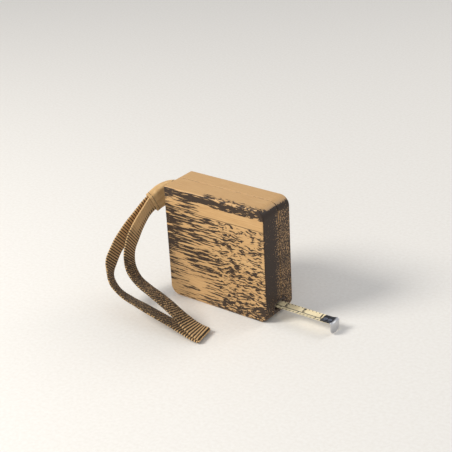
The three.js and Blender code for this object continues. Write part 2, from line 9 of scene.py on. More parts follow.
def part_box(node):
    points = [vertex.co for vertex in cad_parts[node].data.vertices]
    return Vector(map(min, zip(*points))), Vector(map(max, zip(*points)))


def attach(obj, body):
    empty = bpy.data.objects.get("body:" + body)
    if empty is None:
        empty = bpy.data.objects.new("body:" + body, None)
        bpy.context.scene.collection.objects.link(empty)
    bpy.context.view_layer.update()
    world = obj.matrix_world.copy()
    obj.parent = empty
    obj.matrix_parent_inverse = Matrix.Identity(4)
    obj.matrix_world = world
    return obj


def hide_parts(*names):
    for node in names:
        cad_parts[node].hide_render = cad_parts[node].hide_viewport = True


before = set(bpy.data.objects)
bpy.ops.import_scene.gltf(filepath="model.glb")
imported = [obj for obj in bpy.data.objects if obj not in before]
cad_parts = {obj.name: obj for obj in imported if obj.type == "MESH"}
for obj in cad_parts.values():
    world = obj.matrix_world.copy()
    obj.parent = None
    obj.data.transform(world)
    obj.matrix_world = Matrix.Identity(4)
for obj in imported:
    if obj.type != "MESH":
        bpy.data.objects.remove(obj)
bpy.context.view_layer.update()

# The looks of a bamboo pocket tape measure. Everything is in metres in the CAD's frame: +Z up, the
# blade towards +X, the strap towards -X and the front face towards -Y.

MM = 0.001


def mm(*lengths):
    return [length * MM for length in lengths]


# ---------------- sizes taken from the frame

front_low, front_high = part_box("front_case_shell")
rear_low, rear_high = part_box("rear_case_shell")
blade_low, blade_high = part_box("blade_strip")
lip_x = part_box("end_hook")[1].x
coil_low, coil_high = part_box("blade_coil")
button_low, button_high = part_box("release_button")
bezel_low, bezel_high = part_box("button_bezel")
guide_low, guide_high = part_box("mouth_guide")

HALF_WIDTH = front_high.x
HEIGHT = front_high.z
BACK = rear_high.y
SEAM_FRONT = front_high.y
SEAM_REAR = rear_low.y
DRUM_Z = (coil_low.z + coil_high.z) / 2

# Sizes that the frame's boxes don't tell, as in the CAD.
EDGE = 0.9 * MM
CORNERS = mm(4.5, 5, 1.2, 5)          # radii at the mouth's base and top and the strap's top and base
POCKET_RADIUS, POCKET_FRONT, POCKET_REAR = mm(25, -8, 8.5)
CASE_SCREWS = [mm(-25.6, 13), mm(25.6, 13), mm(21.5, 53), mm(-17.5, 54.4)]
DOWELS = [mm(-27.4, 34), mm(27.4, 34)]
LINER_SCREW_RADIUS = 19.6 * MM
LINER_SCREWS = [(LINER_SCREW_RADIUS * math.cos(math.radians(turn)),
                 DRUM_Z + LINER_SCREW_RADIUS * math.sin(math.radians(turn))) for turn in (30, 150, 270)]
STRAP_Z, STRAP_WIDTH, STRAP_THICKNESS = mm(51.7, 12, 1.0)
ANCHOR_X = -25.4 * MM
SLOT_DEPTH, SLOT_HALF, SLOT_HEIGHT = mm(7.2, 2.9, 12.8)
SLEEVE_LENGTH, SLEEVE_WALL, SLEEVE_GAP = mm(15, 0.4, 0.4)
BLADE_SAGITTA, BLADE_THICKNESS = mm(0.7, 0.15)

# The strap's route, as in the CAD: x, y, z and the angle in degrees that the webbing leans over.
OUTER_PLY = [
    (-0.0300, 0.0009, 0.0517, 0), (-0.0346, -0.0001, 0.0513, -12), (-0.0388, -0.0039, 0.0500, -22),
    (-0.0422, -0.0107, 0.0460, -22), (-0.0443, -0.0180, 0.0404, -20), (-0.0462, -0.0248, 0.0344, -18),
    (-0.0473, -0.0313, 0.0280, -13), (-0.0462, -0.0373, 0.0212, 8), (-0.0407, -0.0408, 0.0151, 42),
    (-0.0325, -0.0416, 0.0115, 59), (-0.0237, -0.0413, 0.0092, 64), (-0.0150, -0.0410, 0.0070, 66),
    (-0.0063, -0.0404, 0.0048, 68), (0.0024, -0.0393, 0.0026, 77), (0.0080, -0.0384, 0.0014, 86),
    (0.0112, -0.0378, 0.0011, 90),
]
INNER_PLY = [
    (-0.0300, -0.0009, 0.0517, 0), (-0.0340, -0.0019, 0.0512, -11), (-0.0374, -0.0049, 0.0499, -20),
    (-0.0398, -0.0099, 0.0470, -21), (-0.0403, -0.0162, 0.0427, -16), (-0.0401, -0.0224, 0.0377, -8),
    (-0.0392, -0.0282, 0.0323, 2), (-0.0363, -0.0330, 0.0269, 26), (-0.0311, -0.0363, 0.0220, 50),
    (-0.0239, -0.0378, 0.0186, 63), (-0.0163, -0.0383, 0.0160, 67), (-0.0090, -0.0386, 0.0130, 68),
    (-0.0022, -0.0388, 0.0095, 69), (0.0046, -0.0387, 0.0056, 78), (0.0086, -0.0383, 0.0036, 86),
    (0.0112, -0.0378, 0.0027, 90),
]

# ---------------- camera

CAMERA_PLACE = Vector((0.324214, -0.409038, 0.294510))
AZIMUTH, ELEVATION, ROLL = (math.radians(degrees) for degrees in (38.471, 25.912, -3.300))
LENS, SENSOR = 94.41, 36


def into_scene(name, data):
    thing = bpy.data.objects.new(name, data)
    bpy.context.scene.collection.objects.link(thing)
    return thing


def make_camera():
    data = bpy.data.cameras.new("camera")
    data.lens = LENS
    data.sensor_width = SENSOR
    data.clip_start = 10 * MM
    back = Vector((math.sin(AZIMUTH) * math.cos(ELEVATION), -math.cos(AZIMUTH) * math.cos(ELEVATION),
                   math.sin(ELEVATION)))
    level = Vector((math.cos(AZIMUTH), math.sin(AZIMUTH), 0))
    upward = back.cross(level)
    right = level * math.cos(ROLL) + upward * math.sin(ROLL)
    up = upward * math.cos(ROLL) - level * math.sin(ROLL)
    turn = Matrix((right, up, back)).transposed().to_4x4()
    camera = into_scene("camera", data)
    camera.matrix_world = Matrix.Translation(CAMERA_PLACE) @ turn
    bpy.context.scene.camera = camera


make_camera()

# ---------------- node graphs for materials


class Graph:
    """A material's node tree, with arithmetic on its sockets. Lengths are in millimetres."""

    def __init__(self, name):
        self.material = bpy.data.materials.new(name)
        self.material.use_nodes = True
        self.nodes = self.material.node_tree.nodes
        self.links = self.material.node_tree.links
        self.shader = self.nodes["Principled BSDF"]

    def put(self, socket, value):
        if isinstance(value, bpy.types.NodeSocket):
            self.links.new(value, socket)
        else:
            socket.default_value = value

    def node(self, kind, **inputs):
        """A new node with its inputs set or linked by name; an underscore stands for a space."""
        node = self.nodes.new("ShaderNode" + kind)
        for name, value in inputs.items():
            self.put(node.inputs[name.replace("_", " ")], value)
        return node

    def math(self, operation, *values):
        node = self.node("Math")
        node.operation = operation
        for socket, value in zip(node.inputs, values):
            self.put(socket, value)
        return node.outputs[0]

    def chain(self, operation, *values):
        result = values[0]
        for value in values[1:]:
            result = self.math(operation, result, value)
        return result

    add = partialmethod(chain, "ADD")
    minus = partialmethod(chain, "SUBTRACT")
    times = partialmethod(chain, "MULTIPLY")
    most = partialmethod(chain, "MAXIMUM")

    def size(self, value):
        return self.math("ABSOLUTE", value)

    def cycle(self, value, length):
        """How far value has come in its stretch of that length, from 0 to 1."""
        return self.math("FRACT", self.math("DIVIDE", value, length))

    def coordinates(self, output):
        source = self.node("TexCoord")
        return list(self.node("SeparateXYZ", Vector=source.outputs[output]).outputs)

    def place(self):
        """The point's x, y and z in millimetres, in the piece's own rest frame."""
        return [self.times(part, 1 / MM) for part in self.coordinates("Object")]

    def facing(self):
        """The surface normal's x, y and z in the piece's own frame."""
        return self.coordinates("Normal")

    def attribute(self, name):
        node = self.node("Attribute")
        node.attribute_name = name
        return node.outputs["Fac"]

    def noise(self, place, by=None, scale=1.0, detail=3.0, roughness=0.5):
        """Noise at x, y and z, each multiplied by its own number in `by` if that is given."""
        if by:
            place = [self.times(part, share) for part, share in zip(place, by)]
        point = self.node("CombineXYZ", **dict(zip("XYZ", place))).outputs[0]
        node = self.node("TexNoise", Vector=point, Scale=scale, Detail=detail, Roughness=roughness)
        return node.outputs["Fac"]

    def smooth(self, value, low, high):
        """0 where value is at or under low and 1 where it is at or over high, or the other way."""
        node = self.node("MapRange", Value=value, From_Min=low, From_Max=high)
        node.interpolation_type = "SMOOTHSTEP"
        return node.outputs["Result"]

    def bell(self, value, centre, width):
        """1 at centre, falling smoothly to 0 at width away from it."""
        return self.smooth(self.size(self.minus(value, centre)), width, 0.0)

    def ramp(self, value, stops):
        """A colour ramp through (position, colour) stops."""
        node = self.node("ValToRGB", Fac=value)
        elements = node.color_ramp.elements
        while len(elements) < len(stops):
            elements.new(0.5)
        for element, (position, colour) in zip(elements, stops):
            element.position = position
            element.color = colour
        return node.outputs["Color"]

    def levels(self, value, stops):
        """A number that goes through (position, number) stops."""
        return self.ramp(value, [(position, (n, n, n, 1)) for position, n in stops])

    def mix(self, share, first, second):
        node = self.node("Mix", Factor=share)
        node.data_type = "RGBA"
        self.put(node.inputs[6], first)
        self.put(node.inputs[7], second)
        return node.outputs[2]

    def bump(self, height, depth_mm, strength=1.0):
        node = self.node("Bump", Height=height, Strength=strength, Distance=depth_mm * MM)
        self.put(self.shader.inputs["Normal"], node.outputs[0])

    def finish(self, colour, roughness, metallic=0.0, specular=0.5, coat=0.0, sheen=0.0):
        values = {"Base Color": colour, "Roughness": roughness, "Metallic": metallic,
                  "Specular IOR Level": specular, "Coat Weight": coat, "Coat Roughness": 0.3,
                  "Sheen Weight": sheen}
        for name, value in values.items():
            self.put(self.shader.inputs[name], value)
        return self.material


def srgb(red, green, blue):
    """A colour given as it looks on a screen, 0 to 255, as linear light."""
    def linear(value):
        value /= 255
        return value / 12.92 if value <= 0.04045 else ((value + 0.055) / 1.055) ** 2.4
    return (linear(red), linear(green), linear(blue), 1.0)


# ---------------- materials

BAMBOO_LIGHT = srgb(214, 178, 128)
BAMBOO_MIDDLE = srgb(196, 157, 106)
BAMBOO_SHADE = srgb(172, 131, 84)
BAMBOO_TONED = srgb(184, 142, 92)
# The end faces' colour: end grain, and partly painted shade.
BAMBOO_END_GRAIN_AND_SHADE = srgb(120, 88, 60)
BAMBOO_DARK = srgb(26, 18, 15)
BAMBOO_BROWN = srgb(52, 36, 27)
LAMELLA = 11.6               # mm, the height of one strip of bamboo
FIRST_GLUE_LINE = 49.2       # mm above the base
FIGURE_THRESHOLD = 0.57      # the figure's noise is dark above this, less its density


def bamboo(name):
    """Glued strips of bamboo with fibres along X, scorched to a dark figure. It runs through the
    solid, so the same fibres show as streaks along a face and as specks at the ends. The end faces
    are darker, partly as end grain and partly as painted shade, and the top face is lighter as
    painted light."""
    g = Graph(name)
    x, y, z = g.place()
    nx, _, nz = g.facing()

    # Each strip's own tone and its own place along the fibres.
    above_line = g.minus(z, FIRST_GLUE_LINE)
    white = g.node("TexWhiteNoise")
    white.noise_dimensions = "1D"
    g.put(white.inputs["W"], g.add(g.math("FLOOR", g.math("DIVIDE", above_line, LAMELLA)), 7.3))
    tone = white.outputs["Value"]
    slid = g.add(x, g.times(tone, 40))

    fine = g.noise((slid, y, z), (0.11, 3.4, 3.4), detail=5, roughness=0.65)
    hair = g.noise((slid, y, z), (0.5, 9, 9), detail=2)
    wander = g.noise((x, y, z), (0.05, 0.05, 0.09), detail=2)

    # The dark dashes of the scorched figure: long ones at the strap's end, and short curly ones
    # towards the mouth's end.
    curl = g.smooth(x, -10, 14)
    ends = g.smooth(g.size(nx), 0.5, 0.85)
    stretch = g.add(0.095, g.times(curl, 0.17))
    wave = g.minus(g.noise((x, y, z), (0.35, 0.4, 0.4), detail=1), 0.5)
    bent_z = g.add(z, g.times(g.add(0.4, g.times(curl, 1.9)), wave))
    dashes = g.noise((x, y, bent_z), (stretch, 1.2, 1.25), detail=2.2, roughness=0.55)

    # Where the figure is dense: a streak under the top edge, the middle of the front, and the front of
    # the mouth's end, with denser specks on the end faces that are partly painted shade; it is sparse
    # on the top face, as painted light, and low down at the strap's end.
    under_top = g.bell(z, 57.3, 3.2)
    light_strip = g.times(g.smooth(z, 48.8, 49.4), g.smooth(z, 55.2, 54.4), g.smooth(x, -16, 2))
    lower_strap_side = g.times(g.smooth(z, 22, 12), g.smooth(x, 4, -14))
    light_band = g.times(g.bell(x, 18.5, 5), g.smooth(z, 48, 44), g.smooth(z, 18, 26))
    dark_band = g.bell(g.add(z, g.times(x, 0.18)), 24, 5)
    strap_side = g.times(g.smooth(x, -8, -24), g.bell(z, 42, 14))
    # Painted light: the figure is thinned on the top face so that the top reads lighter.
    top_face = g.smooth(nz, 0.5, 0.8)
    top_streaks = g.times(top_face, g.smooth(y, -5, -9.5), g.smooth(x, -18, 2))
    # Denser figure on the end faces: end grain, and partly painted shade.
    front_of_end = g.times(ends, g.smooth(y, 0.5, -4.5), g.smooth(z, 3, 14), g.smooth(x, -10, 10))
    rest_of_end = g.times(ends, g.smooth(z, 2, 12))
    lower_mouth_side = g.times(g.smooth(x, 6, 16), g.smooth(z, 22, 14))
    weights = (
        (under_top, 0.14), (lower_mouth_side, 0.02), (g.times(light_strip, g.minus(1.0, ends)), -0.3),
        (lower_strap_side, -0.04), (light_band, -0.07), (dark_band, 0.03), (strap_side, 0.045),
        (top_face, -0.38), (top_streaks, 0.36), (front_of_end, 0.15), (rest_of_end, 0.06),
        (g.minus(wander, 0.5), 0.3))
    density = g.add(0.075, *(g.times(part, weight) for part, weight in weights))
    edge = g.minus(FIGURE_THRESHOLD, density)
    figure = g.smooth(dashes, g.minus(edge, 0.008), g.add(edge, 0.02))
    hatching = g.noise((slid, y, z), (0.35, 4.5, 4.5), detail=1)
    figure = g.times(figure, g.smooth(g.add(hatching, g.times(density, 0.5)), 0.3, 0.42))

    # The thin glue line between two strips, plainest at the first one.
    in_strip = g.cycle(above_line, LAMELLA)
    to_line = g.times(g.math("MINIMUM", in_strip, g.minus(1.0, in_strip)), LAMELLA)
    plainness = g.add(0.3, g.times(g.bell(z, FIRST_GLUE_LINE, 1), 0.6))
    glue = g.times(g.smooth(to_line, 0.22, 0.08), plainness)

    base = g.ramp(fine, [(0.25, BAMBOO_SHADE), (0.5, BAMBOO_MIDDLE), (0.75, BAMBOO_LIGHT)])
    toned = g.mix(g.times(tone, 0.3), base, BAMBOO_TONED)
    dark = g.most(figure, glue)
    # End faces darker: end grain, and partly painted shade.
    end_grain_and_shade = g.mix(g.times(ends, 0.45), toned, BAMBOO_END_GRAIN_AND_SHADE)
    char = g.mix(g.smooth(hair, 0.35, 0.7), BAMBOO_DARK, BAMBOO_BROWN)
    colour = g.mix(g.times(dark, 0.97), end_grain_and_shade, char)
    g.bump(g.add(g.times(fine, 0.6), g.times(hair, 0.3), g.times(dark, -0.5)), 0.06, 0.7)
    roughness = g.add(0.42, g.times(fine, 0.14), g.times(dark, 0.12))
    return g.finish(colour, roughness, specular=0.35, coat=0.06)


ROLLED = {"x": (0.4, 14, 14), "y": (14, 0.4, 14)}      # how often the lines repeat along each axis


def steel(name, roughness=0.3, along="x", tint=(0.62, 0.63, 0.65, 1)):
    """Rolled steel: fine lines along one direction, and a faint cloud of handling marks."""
    g = Graph(name)
    place = g.place()
    lines = g.noise(place, ROLLED[along], detail=3)
    cloud = g.noise(place, scale=0.7, detail=4)
    dim = tuple(0.72 * part for part in tint[:3]) + (1,)
    colour = g.mix(g.smooth(cloud, 0.35, 0.75), tint, dim)
    g.bump(lines, 0.01, 0.5)
    worn = g.add(roughness - 0.1, g.times(lines, 0.14), g.times(cloud, 0.1))
    return g.finish(colour, worn, metallic=1.0)


def hook_steel(name):
    """The hook's plate: bright at the lip, near-black with painted shade where the leaf is riveted to the
    blade.
    """
    g = Graph(name)
    x, y, z = g.place()
    lines = g.noise((x, y, z), (1.2, 16, 1.2), detail=3)
    cloud = g.noise((x, y, z), scale=1.1, detail=4)
    # Painted shade: the leaf darkens to near-black.
    painted_leaf_shade = g.smooth(g.add(x, g.times(cloud, 0.6)), lip_x / MM - 0.4, lip_x / MM - 1.3)
    bright = g.mix(g.smooth(cloud, 0.3, 0.8), (0.66, 0.66, 0.67, 1), (0.58, 0.58, 0.6, 1))
    colour = g.mix(g.times(painted_leaf_shade, 0.93), bright, (0.03, 0.03, 0.036, 1))
    g.bump(g.add(lines, g.times(cloud, 0.2)), 0.01, 0.4)
    return g.finish(colour, g.add(0.3, g.times(lines, 0.1), g.times(cloud, 0.06)), metallic=1.0)


TO_ZERO = 0.3 * MM           # from the blade's end to the inside of the hook, where the scale starts
INK_BLUR = 0.03              # mm


def printed_blade(name):
    """Cream lacquer with marks every 2 mm on the near half, longer every 10 mm, a line down the
    middle and short marks on the far edge. It counts back from the inside of the hook."""
    g = Graph(name)
    x, y, z = g.place()
    from_hook = g.minus((blade_high.x + TO_ZERO) / MM, x)
    near, far = blade_low.y / MM, blade_high.y / MM

    def ticks(step, width):
        share = g.math("FRACT", g.add(g.math("DIVIDE", from_hook, step), 0.5))
        away = g.times(g.size(g.minus(share, 0.5)), step)
        return g.smooth(away, width / 2 + INK_BLUR, width / 2 - INK_BLUR)

    def within(edge, blur):
        return g.smooth(y, edge + blur, edge - blur)

    ink = g.most(
        g.times(ticks(2.0, 0.55), within(near + 1.7, INK_BLUR)),
        g.times(ticks(10.0, 0.6), within(near + 2.85, INK_BLUR)),
        g.times(ticks(2.0, 0.4), within(far - 0.5, -INK_BLUR)),
        g.smooth(g.size(g.add(y, 0.1)), 0.3, 0.22),
    )
    printed_side = g.smooth(g.facing()[2], 0.1, 0.3)
    worn = g.noise((x, y, z), (0.8, 3, 1), detail=5, roughness=0.7)
    ink = g.times(ink, printed_side, g.smooth(worn, 0.14, 0.24))
    cloud = g.noise((x, y, z), scale=0.4, detail=3)
    lacquer = g.ramp(cloud, [(0.3, srgb(222, 204, 162)), (0.7, srgb(236, 221, 182))])
    scuffed = g.mix(g.smooth(worn, 0.62, 0.78), lacquer, srgb(196, 178, 132))
    g.bump(g.add(g.times(cloud, 0.5), g.times(ink, 0.4)), 0.02, 0.4)
    return g.finish(g.mix(ink, scuffed, srgb(22, 19, 18)), g.add(0.3, g.times(worn, 0.18)), coat=0.2)


TURN_PITCH = 0.33            # mm, one turn of the wound blade as it is drawn on the coil's flanks


def wound_blade(name):
    """The coil's flanks show the edges of its turns as fine rings, with painted shade in the gaps between
    the turns.
    """
    g = Graph(name)
    x, y, z = g.place()
    height = g.minus(z, DRUM_Z / MM)
    radius = g.math("SQRT", g.add(g.times(x, x), g.times(height, height)))
    # Painted shade in the gaps between the turns.
    gap = g.smooth(g.cycle(radius, TURN_PITCH), 0.6, 0.95)
    cloud = g.noise((x, y, z), scale=0.5, detail=4)
    lacquer = g.ramp(cloud, [(0.3, srgb(220, 204, 152)), (0.7, srgb(238, 223, 178))])
    g.bump(gap, 0.1, 0.8)
    return g.finish(g.mix(gap, lacquer, srgb(70, 62, 48)), g.add(0.32, g.times(cloud, 0.15)))


def plastic(name, colour=srgb(44, 41, 40), roughness=0.5):
    """Moulded plastic with a fine spark-eroded grain and slight flow clouds."""
    g = Graph(name)
    place = g.place()
    grain = g.noise(place, scale=9, detail=3, roughness=0.7)
    cloud = g.noise(place, scale=0.25, detail=3)
    pale = tuple(min(1, part * 1.5 + 0.01) for part in colour[:3]) + (1,)
    g.bump(grain, 0.03, 0.6)
    matt = g.add(roughness - 0.08, g.times(grain, 0.2))
    return g.finish(g.mix(g.smooth(cloud, 0.3, 0.8), colour, pale), matt)


def rubber(name):
    g = Graph(name)
    pores = g.noise(g.place(), scale=6, detail=4, roughness=0.75)
    g.bump(pores, 0.06, 0.8)
    colour = g.ramp(pores, [(0.3, srgb(22, 21, 21)), (0.75, srgb(48, 45, 43))])
    return g.finish(colour, g.add(0.75, g.times(pores, 0.2)))


RIB_PITCH = 1.35 * MM
TAN = srgb(212, 176, 126)
TAN_SHADE = srgb(190, 153, 106)
# Painted shade, in the valleys between the ribs and over the lower part of both plies.
RIB_VALLEY_SHADE = srgb(32, 24, 20)
# Painted shade along the webbing, darker along the lower part of both plies: how dark and how
# speckled it is along its way, as (share of its length, amount): it leaves the sleeve at 0, folds at
# about 0.51 and comes back to the sleeve at 0.94.
PAINTED_SHADE_ALONG = [(0.0, 0.38), (0.19, 0.42), (0.23, 0.60), (0.30, 0.72), (0.42, 0.72), (0.46, 0.62),
        (0.50, 0.50), (0.54, 0.56), (0.58, 0.70), (0.72, 0.76), (0.77, 0.52), (0.82, 0.40)]
SHADE_SPECKLE_ALONG = [(0.20, 0.1), (0.25, 0.9), (0.42, 0.9), (0.47, 0.2), (0.54, 0.2), (0.58, 0.9), (0.72, 0.9),
           (0.77, 0.1)]


def webbing(name, total):
    """Ribbed cotton webbing: pale ribs with painted shade in the valleys between them, painted shade
    darkening the lower part of both plies, and a painted highlight, plain tan, near the sleeve on the
    inner ply."""
    g = Graph(name)
    along = g.attribute("along")
    across = g.attribute("across")
    share = g.math("DIVIDE", along, total / MM)
    valley = g.size(g.minus(g.times(g.cycle(along, RIB_PITCH / MM), 2), 1))
    # The half of the inner ply that is nearer the case is plain from its upper bend to the sleeve: a
    # painted highlight.
    plain = g.times(g.smooth(share, 0.79, 0.82), g.smooth(g.add(across, g.times(share, 4)), 2.9, 3.1))
    speck = g.noise(g.place(), scale=1.5, detail=2.5, roughness=0.7)
    # Painted shade: speckles over the lower part of both plies.
    shade_speckle = g.levels(share, SHADE_SPECKLE_ALONG)
    rough_rib = g.add(g.times(g.minus(valley, 0.5), g.minus(1.0, g.times(shade_speckle, 0.6))),
                      0.5, g.times(g.minus(speck, 0.5), shade_speckle, 3.2))
    # Painted shade: more of the ribs go dark along the lower part of both plies.
    threshold = g.minus(1.0, g.levels(share, PAINTED_SHADE_ALONG))
    # Painted shade: dark in the valleys between the ribs, with more of it along the lower part of both
    # plies.
    painted_shade = g.smooth(rough_rib, g.minus(threshold, 0.1), g.add(threshold, 0.12))
    # The painted highlight clears the dark of the ribs there.
    painted_shade = g.times(painted_shade, g.minus(1.0, g.times(plain, 0.94)))
    yarn = g.noise((across, along, 0.0), (46, 1.4, 1), detail=2)
    pale = g.ramp(yarn, [(0.35, TAN_SHADE), (0.65, TAN)])
    g.bump(g.add(g.times(yarn, 0.6), g.times(speck, 0.3)), 0.09, 0.8)
    colour = g.mix(g.times(painted_shade, 0.94), pale, RIB_VALLEY_SHADE)
    return g.finish(colour, 0.88, specular=0.25, sheen=0.05)


STITCH_ROW = 1.5             # mm from the sleeve's ends to its rows of stitches


def sleeve_cloth(name):
    """Plain tightly woven cotton tape, stitched at both ends."""
    g = Graph(name)
    along = g.attribute("along")
    around = g.attribute("around")
    weave = g.times(g.math("SINE", g.times(along, 14.0)), g.math("SINE", g.times(around, 14.0)))
    cloud = g.noise(g.place(), scale=0.5, detail=4)
    tone = g.ramp(cloud, [(0.3, srgb(196, 157, 106)), (0.7, srgb(216, 180, 128))])
    shade = g.times(g.smooth(weave, 0.2, -0.8), 0.25)
    row = g.most(g.bell(along, SLEEVE_LENGTH / MM - STITCH_ROW, 0.3), g.bell(along, STITCH_ROW, 0.3))
    thread = g.smooth(g.math("FRACT", g.times(around, 0.6)), 0.78, 0.7)
    stitch = g.times(g.smooth(row, 0.3, 0.6), thread)
    g.bump(g.add(weave, g.times(stitch, 2)), 0.05, 0.6)
    cloth = g.mix(shade, tone, srgb(120, 88, 56))
    return g.finish(g.mix(stitch, cloth, srgb(66, 46, 34)), 0.85, specular=0.25, sheen=0.05)


MATERIALS = {name: make(name, *looks) for name, make, *looks in (
    ("bamboo", bamboo), ("steel", steel), ("turned_steel", steel, 0.26, "y"),
    ("spring_steel", steel, 0.28, "x", (0.2, 0.22, 0.27, 1)), ("hook_steel", hook_steel),
    ("printed_blade", printed_blade), ("wound_blade", wound_blade), ("rubber", rubber),
    ("black_plastic", plastic), ("ink", plastic, srgb(30, 26, 25), 0.45),
    ("button_plastic", plastic, srgb(58, 45, 38), 0.42), ("guide_plastic", plastic, srgb(60, 46, 38), 0.5),
    ("sleeve_cloth", sleeve_cloth),
)}

# ---------------- making pieces

PAST = 1 * MM                # how far a cutter reaches past the surface that it opens


def outward(mesh, merge=0.0):
    """The mesh with points nearer than merge joined and its faces turned outwards."""
    made = bmesh.new()
    made.from_mesh(mesh)
    if merge:
        bmesh.ops.remove_doubles(made, verts=made.verts, dist=merge)
    bmesh.ops.recalc_face_normals(made, faces=made.faces)
    made.to_mesh(mesh)
    made.free()
    return mesh


def mesh_of(name, points, faces):
    mesh = bpy.data.meshes.new(name)
    mesh.from_pydata([tuple(point) for point in points], [], faces)
    return outward(mesh)


def give_numbers(mesh, name, values):
    """A named number at each of the mesh's points, for its material to read."""
    layer = mesh.attributes.new(name, "FLOAT", "POINT")
    layer.data.foreach_set("value", values)


def link(name, mesh, material, body, replaced=(), sharp=40):
    """A piece of the visual model, shaded smooth but where faces meet at more than `sharp` degrees."""
    if sharp:
        mesh.polygons.foreach_set("use_smooth", [True] * len(mesh.polygons))
        mesh.set_sharp_from_angle(angle=math.radians(sharp))
        mesh.update()
    piece = into_scene(name, mesh)
    piece.data.materials.append(MATERIALS[material])
    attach(piece, body)
    if replaced:
        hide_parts(*replaced)
    return piece


def skin(name, points, rows, loop, capped):
    """A body through rows of as many point numbers each; a number may come twice in a row."""
    faces = []
    for first, second in zip(rows, rows[1:] + (rows[:1] if loop else [])):
        for k in range(len(first)):
            n = (k + 1) % len(first)
            corners = [first[k], first[n], second[n], second[k]]
            face = [c for i, c in enumerate(corners) if c not in corners[:i]]
            if len(face) > 2:
                faces.append(tuple(face))
    if capped:
        faces += [tuple(rows[0]), tuple(reversed(rows[-1]))]
    return mesh_of(name, points, faces)


def loft(name, rings, loop=False):
    """A body through rings of the same number of points, capped at both ends unless it is a loop."""
    count = len(rings[0])
    rows = [range(r * count, (r + 1) * count) for r in range(len(rings))]
    return skin(name, [point for ring in rings for point in ring], rows, loop, not loop)


def lathe(name, profile, x, z, sides):
    """A profile of (radius, y) points turned about an axis along Y. One that starts and ends on the
    axis closes there, and any other closes on itself."""
    points, rows = [], []
    for radius, y in profile:
        if radius == 0:
            rows.append([len(points)] * sides)
            points.append((x, y, z))
            continue
        rows.append(range(len(points), len(points) + sides))
        for k in range(sides):
            angle = 2 * math.pi * k / sides
            points.append((x + radius * math.cos(angle), y, z + radius * math.sin(angle)))
    return skin(name, points, rows, profile[0][0] != 0 or profile[-1][0] != 0, False)


def quarter(steps):
    """The (cosine, sine) of angles from 0 to 90 degrees, with an exact 0 and 1 at the end."""
    angles = [math.pi / 2 * k / steps for k in range(steps)]
    return [(math.cos(angle), math.sin(angle)) for angle in angles] + [(0, 1)]


def rounded_profile(corners, radius, steps=4):
    """(radius, y) corners with each one that isn't on the axis rounded off by an arc of that size."""
    out = []
    for i, corner in enumerate(corners):
        here = Vector(corner)
        if corner[0] == 0:
            out.append(tuple(here))
            continue
        to_last = Vector(corners[i - 1]) - here
        to_next = Vector(corners[(i + 1) % len(corners)]) - here
        size = min(radius, 0.45 * to_last.length, 0.45 * to_next.length)
        start = here + to_last.normalized() * size
        end = here + to_next.normalized() * size
        for k in range(steps + 1):
            t = k / steps
            out.append(tuple(start * (1 - t) ** 2 + here * 2 * t * (1 - t) + end * t ** 2))
    return out


def box_mesh(name, low, high):
    corners = [(x, y, z) for x in (low[0], high[0]) for y in (low[1], high[1]) for z in (low[2], high[2])]
    faces = [(0, 1, 3, 2), (4, 6, 7, 5), (0, 4, 5, 1), (2, 3, 7, 6), (0, 2, 6, 4), (1, 5, 7, 3)]
    return mesh_of(name, corners, faces)


def evaluated(thing):
    """The mesh that an object comes to; the object itself is removed."""
    bpy.context.view_layer.update()
    graph = bpy.context.evaluated_depsgraph_get()
    mesh = bpy.data.meshes.new_from_object(thing.evaluated_get(graph))
    bpy.data.objects.remove(thing)
    return mesh


def carve(mesh, cutters):
    """The mesh with the cutter meshes taken away from it, one after the other."""
    for cutter in cutters:
        body, tool = into_scene("carved", mesh), into_scene("cutter", cutter)
        cut = body.modifiers.new("cut", "BOOLEAN")
        cut.operation = "DIFFERENCE"
        cut.solver = "EXACT"
        cut.object = tool
        mesh = evaluated(body)
        bpy.data.objects.remove(tool)
    return mesh


def rounded_rectangle(half_a, half_b, radius, steps=5):
    """Points (a, b) round a rectangle with rounded corners."""
    points = []
    for turn, (sign_a, sign_b) in enumerate(((1, 1), (-1, 1), (-1, -1), (1, -1))):
        for k in range(steps + 1):
            angle = math.pi / 2 * (turn + k / steps)
            points.append((sign_a * (half_a - radius) + radius * math.cos(angle),
                           sign_b * (half_b - radius) + radius * math.sin(angle)))
    return points


# ---------------- strap

ROUTE_STEPS = 400            # how finely a ply's route is measured
STEPS_PER_RIB = 8
EVENED_OVER = 18             # stations to each side that the width direction is averaged over
FOLD_STEPS, PIN_STEPS, LEAD_STEPS = 16, 36, 24
PIN_TURN = 1.85 * MM         # radius of the turn round the anchor pin
FLAT_STEPS, EDGE_STEPS = 14, 4
EDGE_BULGE = 0.38 * MM
VALLEY_SHARE, RIB_SHARE = 0.40, 0.09     # half thickness in a valley, and what a rib adds to it


def catmull_rom(rows, t):
    """The point at t, from 0 to 1, on a uniform Catmull-Rom curve through rows of three numbers."""
    spans = len(rows) - 1
    place = min(max(t, 0.0), 1.0) * spans
    i = min(int(place), spans - 1)
    w = place - i
    here, there = Vector(rows[i][:3]), Vector(rows[i + 1][:3])
    before = Vector(rows[i - 1][:3]) if i > 0 else here * 2 - there
    after = Vector(rows[i + 2][:3]) if i + 2 <= spans else there * 2 - here
    slope_here = (there - before) * 0.5
    slope_there = (after - here) * 0.5
    return (here * (2 * w ** 3 - 3 * w ** 2 + 1) + slope_here * (w ** 3 - 2 * w ** 2 + w)
            + there * (-2 * w ** 3 + 3 * w ** 2) + slope_there * (w ** 3 - w ** 2))


def station_of(rows, t):
    """The strap's centre, direction and width direction at t along a ply."""
    leans = [(row[3], 0.0, 0.0) for row in rows]
    lean = math.radians(catmull_rom(leans, t).x)
    small = 1e-4
    along = (catmull_rom(rows, t + small) - catmull_rom(rows, t - small)).normalized()
    upright = (Vector((0, 0, 1)) - along * along.z).normalized()
    across = upright * math.cos(lean) + along.cross(upright) * math.sin(lean)
    return catmull_rom(rows, t), along, across


